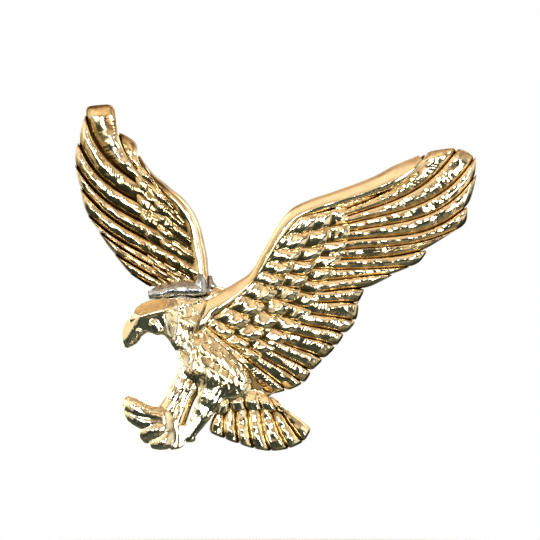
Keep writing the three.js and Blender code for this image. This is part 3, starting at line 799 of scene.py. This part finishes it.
def placed(obj, name, y):
    """The object, moved from round a post's foot to that post, at height y."""
    x, z, turn = POSTS[name]
    obj.data.transform(Matrix.Translation((x, y, z)) @ Matrix.Rotation(turn, 4, "Y"))
    return obj


def post_pad(name):
    profile = [(0, 0), (PAD_RADIUS, 0), (PAD_RADIUS, PAD_HEIGHT), (0, PAD_HEIGHT)]
    return placed(turned(f"{name}_post_pad_disc", profile, 0.08), name, BACK)


def post_solder(name):
    inner = PAD_RADIUS + GAP
    profile = [(inner, 0), (RING_RADIUS, 0), (RING_RADIUS - 0.15, 0.18), (inner, RING_HEIGHT)]
    ring = turned(f"{name}_post_solder_ring", profile, 0.06, sides=160)
    for vertex in ring.data.vertices:
        turn = math.atan2(vertex.co.z, vertex.co.x)
        swell = 1 + 0.25 * math.sin(5 * turn + 1) * math.sin(3 * turn)
        vertex.co.y *= swell
        out = (vertex.co.xz.length - inner) * (0.85 + 0.15 * swell) + inner
        vertex.co.xz = vertex.co.xz.normalized() * max(out, inner)
    return placed(ring, name, BACK)


def post_pin(name):
    grip = CLUTCH_REST + JAW_HEIGHT - BACK
    profile = [
        (0, PAD_HEIGHT),
        (POST_RADIUS, PAD_HEIGHT),
        (POST_RADIUS, grip - 0.5),
        (GROOVE_RADIUS, grip - 0.25),
        (GROOVE_RADIUS, grip + 0.25),
        (POST_RADIUS, grip + 0.5),
        (POST_RADIUS, POST_LENGTH - 1.0),
        (0.18, POST_LENGTH - 0.12),
        (0, POST_LENGTH),
    ]
    return placed(turned(f"{name}_post_pin", profile, 0.1, sides=64), name, BACK)


# ---------------------------- butterfly clutches


def clutch_plate(name):
    rim = PLATE_RADIUS - 0.35
    profile = [
        (PIN_HOLE_RADIUS, 0),
        (rim, 0),
        (PLATE_RADIUS, 0.25),
        (PLATE_RADIUS, 0.55),
        (rim + 0.1, 0.55),
        (rim - 0.1, PLATE_THICKNESS),
        (PIN_HOLE_RADIUS, PLATE_THICKNESS),
    ]
    return placed(turned(f"{name}_clutch_plate_disc", profile, 0.1, sides=128), name, CLUTCH_REST)


def clutch_housing(name):
    inner = HOUSING_RADIUS - HOUSING_WALL
    profile = [
        (inner, PLATE_THICKNESS),
        (HOUSING_RADIUS, PLATE_THICKNESS),
        (HOUSING_RADIUS, HOUSING_TOP - 0.3),
        (inner, HOUSING_TOP),
        (PIN_HOLE_RADIUS, HOUSING_TOP),
        (PIN_HOLE_RADIUS, HOUSING_TOP - HOUSING_WALL),
        (inner, HOUSING_TOP - HOUSING_WALL - 0.1),
    ]
    cup = turned(f"{name}_clutch_housing_cup", profile, 0.12, sides=128)
    combine(cup, [block((-10, 1.75, -1.45), (10, 3.5, 1.45))], "DIFFERENCE")
    return placed(cup, name, CLUTCH_REST)


def bore(radius):
    return turned("bore", [(0, -10), (radius, -10), (radius, 10), (0, 10)], 0.01, sides=64)


def along_strip(path, radius):
    """Evenly spaced points of a filleted path of x, y, at z 0."""
    corners = filleted(path, radius, 8)
    run = np.concatenate([[0], np.cumsum(np.linalg.norm(np.diff(corners, axis=0), axis=1))])
    even = np.linspace(0, run[-1], 90)
    x, y = (np.interp(even, run, corners[:, axis]) for axis in (0, 1))
    return np.stack([x, y, 0 * even], -1)


def clutch_spring(name):
    line = along_strip([(-2.8, 1.65), (-2.8, 0.45), (2.8, 0.45), (2.8, 1.65)], 0.35)
    strip = band(f"{name}_clutch_spring_strip", line, (0, 0, 1), 0.2, np.full(len(line), 0.8))
    combine(strip, [bore(PIN_HOLE_RADIUS - 0.1)], "DIFFERENCE")
    return placed(strip, name, CLUTCH_REST)


def clutch_lever(name, side):
    path = [(0.3, JAW_HEIGHT), (1.9, JAW_HEIGHT), (2.4, 1.85), (2.9, 2.3)]
    path += [(3.6, 2.7), (4.4, 3.4), (4.85, 4.2), (5.0, 5.0)]
    line = along_strip(path, 0.4)
    far = np.linspace(0, 1, len(line))
    tongue = np.sqrt(np.clip(1 - (np.clip(far - 0.84, 0, 1) / 0.165) ** 2, 0, 1))
    half_width = 1.15 * np.maximum(tongue, 0.25)
    strip = band(f"{name}_clutch_lever_{side}_strip", line, (0, 0, 1), SHEET, half_width)
    combine(strip, [bore(POST_RADIUS + 0.1)], "DIFFERENCE")
    if side == "b":
        strip.data.transform(Matrix.Rotation(math.pi, 4, "Y"))
    return placed(strip, name, CLUTCH_REST)


# ---------------------------- materials


def relief_attribute(obj):
    """Stores, at each point, how far the casting stands above (1) or below (0) its surroundings."""
    # This relief drives the painted groove shade and the painted crest highlight of the gilt.
    size, cell = 0.9, 0.15
    margin = int(3 * size / cell)
    points = np.empty(len(obj.data.vertices) * 3)
    obj.data.vertices.foreach_get("co", points)
    points = points.reshape(-1, 3)
    low = points[:, ::2].min(0) - 3 * size
    column = ((points[:, ::2] - low) / cell).astype(int)
    shape = column.max(0) + 1 + margin
    total, count = np.zeros(shape), np.zeros(shape)
    front = points[:, 1] < BACK - 0.3
    np.add.at(total, tuple(column[front].T), -points[front, 1])
    np.add.at(count, tuple(column[front].T), 1.0)
    reach = np.arange(-margin, margin + 1) * cell
    weights = np.exp(-((reach / size) ** 2))
    for axis in (0, 1):
        total = np.apply_along_axis(np.convolve, axis, total, weights, "same")
        count = np.apply_along_axis(np.convolve, axis, count, weights, "same")
    mean = (total / np.maximum(count, 1e-6))[tuple(column.T)]
    relief = np.clip(0.5 + (-points[:, 1] - mean) / 0.9, 0, 1)
    relief[~front] = 0.5
    obj.data.attributes.new("relief", "FLOAT", "POINT").data.foreach_set("value", relief)


def new_material(name):
    """A new material, with its nodes, links and shader."""
    material = bpy.data.materials.new(name)
    material.use_nodes = True
    nodes, links = material.node_tree.nodes, material.node_tree.links
    return material, nodes, links, nodes["Principled BSDF"]


def graded(nodes, links, value, stops, socket=None):
    """The colour that a ramp of (position, colour) stops gives a value, sent to a socket if one is given."""
    node = nodes.new("ShaderNodeValToRGB")
    while len(node.color_ramp.elements) < len(stops):
        node.color_ramp.elements.new(1.0)
    for element, (place, color) in zip(node.color_ramp.elements, stops):
        element.position = place
        element.color = (*color, 1.0)
    links.new(value, node.inputs["Fac"])
    if socket:
        links.new(node.outputs["Color"], socket)
    return node.outputs["Color"]


def grey(value):
    return (value, value, value)


def noise(nodes, links, scale, detail):
    """Noise over the object, with scale in features per metre."""
    where = nodes.new("ShaderNodeTexCoord")
    node = nodes.new("ShaderNodeTexNoise")
    node.inputs["Scale"].default_value = scale
    node.inputs["Detail"].default_value = detail
    node.inputs["Roughness"].default_value = 0.55
    links.new(where.outputs["Object"], node.inputs["Vector"])
    return node


def add_bump(nodes, links, shader, layers):
    """Bumps stacked on a shader: height output, strength and depth in metres of each."""
    normal = None
    for height, strength, depth in layers:
        node = nodes.new("ShaderNodeBump")
        node.inputs["Strength"].default_value = strength
        node.inputs["Distance"].default_value = depth
        links.new(height, node.inputs["Height"])
        if normal is not None:
            links.new(normal, node.inputs["Normal"])
        normal = node.outputs["Normal"]
    links.new(normal, shader.inputs["Normal"])


def multiplied(nodes, links, a, b):
    """The product of two colour outputs."""
    node = nodes.new("ShaderNodeMix")
    node.data_type = "RGBA"
    node.blend_type = "MULTIPLY"
    node.inputs["Factor"].default_value = 1.0
    links.new(a, node.inputs[6])
    links.new(b, node.inputs[7])
    return node.outputs[2]


def gilt_front(name, shade_shift=0.0):
    """Polished gold with painted light: paler on the ridges as a painted highlight, darker and duller in the
    grooves as painted shade, with fine casting marks.

    The last argument carries the painted shade of the grooves higher up the ridges; a larger value gives a
    darker-shaded copy.
    """
    material, nodes, links, shader = new_material(name)
    shader.inputs["Metallic"].default_value = 1.0
    relief = nodes.new("ShaderNodeAttribute")
    relief.attribute_name = "relief"
    stain = noise(nodes, links, 900.0, 5.0)
    shift = nodes.new("ShaderNodeMath")
    shift.operation = "MULTIPLY_ADD"
    links.new(stain.outputs["Fac"], shift.inputs[0])
    shift.inputs[1].default_value = 0.35
    links.new(relief.outputs["Fac"], shift.inputs[2])
    # Painted shade and highlight: by relief, mottled by noise, the colour runs from dark brown in the
    # grooves to pale cream on the crests.
    tones = [
        (0.32 + shade_shift, (0.18, 0.12, 0.05)),
        (0.5 + shade_shift, (0.52, 0.38, 0.18)),
        (0.66 + shade_shift, (0.9, 0.74, 0.46)),
        (0.95 + shade_shift, (1.0, 0.9, 0.67)),
    ]
    graded(nodes, links, shift.outputs[0], tones, shader.inputs["Base Color"])
    gloss = [(0.3, grey(0.34)), (0.55, grey(0.13)), (0.9, grey(0.08))]
    graded(nodes, links, shift.outputs[0], gloss, shader.inputs["Roughness"])
    dents = noise(nodes, links, 700.0, 2.0)
    grain = noise(nodes, links, 5200.0, 3.0)
    layers = [(dents.outputs["Fac"], 0.3, 0.00012), (grain.outputs["Fac"], 0.25, 0.00002)]
    add_bump(nodes, links, shader, layers)
    return material


def clouded_metal(name, tones, rough, cloud_scale, marks_scale, strength, depth):
    """A metal with clouded colour, uneven gloss and fine marks. tones and rough are low and high values."""
    material, nodes, links, shader = new_material(name)
    shader.inputs["Metallic"].default_value = 1.0
    cloud = noise(nodes, links, cloud_scale, 5.0).outputs["Fac"]
    graded(nodes, links, cloud, [(0.3, tones[0]), (0.7, tones[1])], shader.inputs["Base Color"])
    gloss = [(0.3, grey(rough[0])), (0.7, grey(rough[1]))]
    graded(nodes, links, cloud, gloss, shader.inputs["Roughness"])
    marks = noise(nodes, links, marks_scale, 3.0)
    add_bump(nodes, links, shader, [(marks.outputs["Fac"], strength, depth)])
    return material


def floor_material():
    """A pale, matt sheet with a faint cloudiness."""
    material, nodes, links, shader = new_material("pale_floor")
    cloud = noise(nodes, links, 12.0, 3.0).outputs["Fac"]
    tones = [(0.3, (0.54, 0.57, 0.6)), (0.7, (0.6, 0.63, 0.66))]
    graded(nodes, links, cloud, tones, shader.inputs["Base Color"])
    shader.inputs["Roughness"].default_value = 0.8
    return material


# ---------------------------- putting pieces in the frame


def finish_piece(obj, material, body, node, back_material=None):
    """Turns a piece into metres, shades it and sets it in the frame in place of its CAD node."""
    obj.data.materials.clear()
    obj.data.materials.append(material)
    if back_material is not None:
        relief_attribute(obj)
        obj.data.materials.append(back_material)
    obj.data.transform(Matrix.Scale(0.001, 4))
    obj.data.shade_smooth()
    obj.data.set_sharp_from_angle(angle=math.radians(50))
    if back_material is not None:
        centres = np.empty(len(obj.data.polygons) * 3)
        obj.data.polygons.foreach_get("center", centres)
        for number in np.flatnonzero(centres[1::3] > 0.001 * BACK - 0.00001):
            face = obj.data.polygons[number]
            face.material_index = 1
            face.use_smooth = False
    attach(obj, body)
    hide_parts(node)


GILT_FRONT = gilt_front("gilt_casting_front")
# The far wing: a darker-shaded copy of the same gilding, its painted groove shade spread higher up the
# ridges.
GILT_FAR_SHADED = gilt_front("gilt_casting_far_painted_shade", shade_shift=0.16)
# The flat back: the same gilding over a pebbled, unpolished cast face.
GILT_BACK = clouded_metal(
    "gilt_casting_back", [(0.66, 0.48, 0.22), (0.96, 0.78, 0.46)], [0.26, 0.42], 260.0, 3200.0, 0.6, 0.00008
)
SOLDER = clouded_metal(
    "grey_solder", [(0.3, 0.32, 0.35), (0.66, 0.69, 0.73)], [0.14, 0.27], 1500.0, 2600.0, 0.5, 0.0001
)
BRASS = clouded_metal(
    "plated_brass", [(0.8, 0.6, 0.3), (0.98, 0.82, 0.5)], [0.126, 0.24], 420.0, 6000.0, 0.5, 0.00001
)
STEEL = clouded_metal(
    "spring_steel", [(0.42, 0.42, 0.43), (0.66, 0.67, 0.69)], [0.168, 0.32], 600.0, 5200.0, 0.5, 0.00001
)

finish_piece(eagle_body(), GILT_FRONT, "badge", "eagle_body", GILT_BACK)
finish_piece(near_wing(), GILT_FRONT, "badge", "near_wing", GILT_BACK)
finish_piece(far_wing(), GILT_FAR_SHADED, "badge", "far_wing", GILT_BACK)
finish_piece(far_wing_solder(), SOLDER, "badge", "far_wing_solder")
finish_piece(shoulder_solder(), SOLDER, "badge", "shoulder_solder")
finish_piece(near_wing_solder(), SOLDER, "badge", "near_wing_solder")

for name in POSTS:
    finish_piece(post_pad(name), BRASS, "badge", f"{name}_post_pad")
    finish_piece(post_solder(name), SOLDER, "badge", f"{name}_post_solder")
    finish_piece(post_pin(name), BRASS, "badge", f"{name}_post")
    finish_piece(clutch_plate(name), BRASS, f"{name}_clutch", f"{name}_clutch_plate")
    finish_piece(clutch_housing(name), BRASS, f"{name}_clutch", f"{name}_clutch_housing")
    finish_piece(clutch_spring(name), STEEL, f"{name}_clutch", f"{name}_clutch_spring")
    for side in "ab":
        lever = clutch_lever(name, side)
        finish_piece(lever, BRASS, f"{name}_lever_{side}", f"{name}_clutch_lever_{side}")

# ---------------------------- floor, light and camera

FLOOR_Z = -0.042
FLOOR_RADIUS = 0.15
FRAME_WIDTH = 0.0643  # what the camera sees across at the badge
CAMERA_LENS = 250.0
CAMERA_X = -0.00077
CAMERA_Z = 0.00071


def floor():
    """A pale disc below the badge, with a rounded rim."""
    profile = [(0, -0.004), (FLOOR_RADIUS, -0.004), (FLOOR_RADIUS, 0), (0, 0)]
    disc = turned("floor", profile, 0.0015, sides=160)
    disc.data.transform(Matrix.Translation((0, 0, FLOOR_Z)) @ Matrix.Rotation(math.pi / 2, 4, "X"))
    disc.data.materials.append(floor_material())
    disc.data.shade_smooth()
    disc.visible_glossy = False


# Soft patches of light in the room: azimuth (0 in front, 90 on the right) and elevation of the middle,
# radius of the bright part and of its fading edge, all in degrees, and colour.
ROOM_LIGHTS = [
    (-12, -2, 3, 12, (7.5, 7.4, 6.9)),
    (-34, 4, 3, 11, (3.0, 2.9, 2.6)),
    (26, 5, 3, 12, (8.5, 8.3, 7.7)),
    (25, -15, 3, 12, (7.0, 6.8, 6.3)),
    (-6, 16, 4, 12, (0.5, 0.4, 0.28)),
    (13, 5, 3, 8, (1.2, 0.6, 0.35)),
    (10, 36, 6, 22, (0.45, 0.34, 0.22)),
    (-30, 36, 6, 24, (0.6, 0.46, 0.31)),
    (-56, -14, 4, 18, (0.7, 0.56, 0.34)),
    (-70, 20, 5, 34, (0.9, 0.86, 0.78)),
    (-98, 4, 6, 30, (0.8, 0.68, 0.46)),
    (80, 10, 5, 36, (0.9, 0.84, 0.72)),
    (60, -25, 4, 20, (0.9, 0.84, 0.72)),
    (30, -52, 3, 20, (0.25, 0.2, 0.12)),
    (150, 25, 8, 40, (2.4, 2.35, 2.2)),
    (-140, 5, 8, 40, (2.2, 2.1, 1.95)),
    (180, -20, 6, 30, (1.0, 0.95, 0.85)),
]


def bearing(azimuth, elevation):
    """The direction at an azimuth and elevation in degrees, from the badge."""
    around, up = math.radians(azimuth), math.radians(elevation)
    return Vector((math.sin(around) * math.cos(up), -math.cos(around) * math.cos(up), math.sin(up)))


def surroundings():
    """White behind the badge, and for its reflections a dark room with a warm ceiling and soft lights."""
    world = bpy.data.worlds.new("studio")
    bpy.context.scene.world = world
    world.use_nodes = True
    nodes, links = world.node_tree.nodes, world.node_tree.links
    nodes.clear()
    where = nodes.new("ShaderNodeTexCoord")
    split = nodes.new("ShaderNodeSeparateXYZ")
    links.new(where.outputs["Generated"], split.inputs[0])
    height = nodes.new("ShaderNodeMapRange")
    height.inputs["From Min"].default_value = -1.0
    links.new(split.outputs["Z"], height.inputs["Value"])
    tones = [
        (0.0, (0.12, 0.13, 0.10)),
        (0.18, (0.05, 0.065, 0.055)),
        (0.42, (0.06, 0.075, 0.06)),
        (0.5, (0.16, 0.16, 0.12)),
        (0.60, (0.22, 0.2, 0.15)),
        (0.75, (0.55, 0.43, 0.3)),
        (1.0, (0.7, 0.46, 0.28)),
    ]
    sky = graded(nodes, links, height.outputs[0], tones)
    patches = nodes.new("ShaderNodeTexNoise")
    patches.inputs["Scale"].default_value = 2.4
    patches.inputs["Detail"].default_value = 2.0
    links.new(where.outputs["Generated"], patches.inputs["Vector"])
    shade = graded(nodes, links, patches.outputs["Fac"], [(0.34, grey(0.45)), (0.6, grey(1.15))])
    room = multiplied(nodes, links, sky, shade)
    for azimuth, elevation, inner, outer, color in ROOM_LIGHTS:
        toward = nodes.new("ShaderNodeVectorMath")
        toward.operation = "DOT_PRODUCT"
        toward.inputs[1].default_value = bearing(azimuth, elevation)
        links.new(where.outputs["Generated"], toward.inputs[0])
        fade = nodes.new("ShaderNodeMapRange")
        fade.interpolation_type = "SMOOTHSTEP"
        fade.inputs["From Min"].default_value = math.cos(math.radians(outer))
        fade.inputs["From Max"].default_value = math.cos(math.radians(inner))
        links.new(toward.outputs["Value"], fade.inputs["Value"])
        glow = nodes.new("ShaderNodeVectorMath")
        glow.operation = "SCALE"
        glow.inputs[0].default_value = color
        links.new(fade.outputs[0], glow.inputs["Scale"])
        total = nodes.new("ShaderNodeVectorMath")
        links.new(room, total.inputs[0])
        links.new(glow.outputs[0], total.inputs[1])
        room = total.outputs[0]
    reflected = nodes.new("ShaderNodeBackground")
    links.new(room, reflected.inputs["Color"])
    seen = nodes.new("ShaderNodeBackground")
    seen.inputs["Color"].default_value = (1, 1, 1, 1)
    path = nodes.new("ShaderNodeLightPath")
    choose = nodes.new("ShaderNodeMixShader")
    out = nodes.new("ShaderNodeOutputWorld")
    links.new(path.outputs["Is Camera Ray"], choose.inputs[0])
    links.new(reflected.outputs[0], choose.inputs[1])
    links.new(seen.outputs[0], choose.inputs[2])
    links.new(choose.outputs[0], out.inputs["Surface"])


def softbox(name, azimuth, elevation, distance, size, power):
    """An area light aimed at the badge. It shades the scene; its reflection is one of the room's patches."""
    light = bpy.data.lights.new(name, "AREA")
    light.shape = "RECTANGLE"
    light.size, light.size_y = size
    light.energy = power
    light.color = (1.0, 0.98, 0.94)
    obj = bpy.data.objects.new(name, light)
    bpy.context.scene.collection.objects.link(obj)
    away = bearing(azimuth, elevation)
    obj.location = away * distance
    obj.rotation_euler = away.to_track_quat("Z", "Y").to_euler()
    obj.visible_glossy = False


def camera():
    """A long lens straight in front of the badge."""
    data = bpy.data.cameras.new("camera")
    data.sensor_width = 36.0
    data.lens = CAMERA_LENS
    obj = bpy.data.objects.new("camera", data)
    bpy.context.scene.collection.objects.link(obj)
    distance = FRAME_WIDTH * CAMERA_LENS / data.sensor_width
    obj.location = (CAMERA_X, -distance - 0.002, CAMERA_Z)
    obj.rotation_euler = (math.pi / 2, 0, 0)
    data.clip_start, data.clip_end = 0.01, 10.0
    bpy.context.scene.camera = obj


floor()
surroundings()
softbox("front_box", 6, 30, 0.8, (0.6, 0.42), 1.6)
softbox("top_box", -30, 75, 0.7, (0.5, 0.4), 1.6)
softbox("rear_box", 190, 35, 0.8, (0.7, 0.45), 1.6)
camera()
bpy.context.scene.view_settings.view_transform = "Standard"
